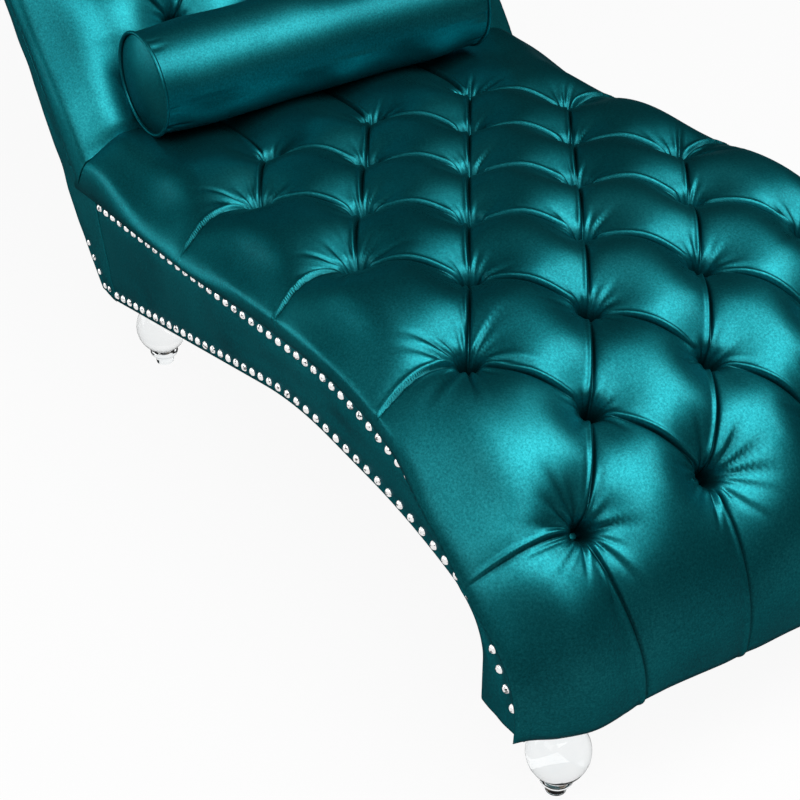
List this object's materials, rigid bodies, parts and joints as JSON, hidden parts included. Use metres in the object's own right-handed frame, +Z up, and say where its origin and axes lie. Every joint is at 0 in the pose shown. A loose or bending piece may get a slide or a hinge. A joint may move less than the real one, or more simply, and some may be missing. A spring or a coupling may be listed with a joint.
{
  "type": "chaise longue",
  "caption": "Armless chaise longue with a diamond tufted velvet seat and sloping back, a loose bolster, arched sides with nail trim and clear turned feet.",
  "frame": {"origin": "middle of the chaise's bounding box, on the floor under the feet", "axes": "+X towards the foot end, +Y across to the sitter's left, +Z up"},
  "size_m": [1.4694, 0.661, 0.7995],
  "materials": {
    "velvet": "napped",
    "foam": "matte",
    "frame_wood": "planed",
    "nail_metal": "polished",
    "clear_acrylic": "polished clear",
    "steel": "zinc plated",
    "washer_plastic": "moulded",
    "dust_cloth": "matte"
  },
  "bodies": {
    "chaise": {"back_board": "frame_wood", "back_buttons": "velvet", "back_cover": "velvet", "back_foam": "foam", "back_lower_rail": "frame_wood", "back_mid_rail": "frame_wood", "back_panel_left": "velvet", "back_panel_right": "velvet", "back_post_left": "frame_wood", "back_post_right": "frame_wood", "back_tie_washers": "washer_plastic", "back_top_rail": "frame_wood", "cross_rail_front": "frame_wood", "cross_rail_rear": "frame_wood", "dust_sheet": "dust_cloth", "frame_screws": "steel", "front_rail": "frame_wood", "leg_bolts": "steel", "leg_front_left": "clear_acrylic", "leg_front_right": "clear_acrylic", "leg_inserts": "steel", "leg_rear_left": "clear_acrylic", "leg_rear_right": "clear_acrylic", "nails_lower_left": "nail_metal", "nails_lower_right": "nail_metal", "nails_upper_left": "nail_metal", "nails_upper_right": "nail_metal", "outside_back": "velvet", "rear_rail": "frame_wood", "seat_buttons": "velvet", "seat_cover": "velvet", "seat_deck": "frame_wood", "seat_foam": "foam", "seat_tie_washers": "washer_plastic", "side_band_left": "velvet", "side_band_right": "velvet", "side_rail_left": "frame_wood", "side_rail_right": "frame_wood", "welt_left": "velvet", "welt_right": "velvet"},
    "bolster": {"bolster_cover": "velvet", "bolster_filling": "foam", "bolster_piping_left": "velvet", "bolster_piping_right": "velvet"}
  },
  "joints": [
    {"name": "bolster_lift", "type": "slide", "parent": "chaise", "child": "bolster", "axis": [0, 0, 1], "range_m": [0, 0.4]}
  ]
}
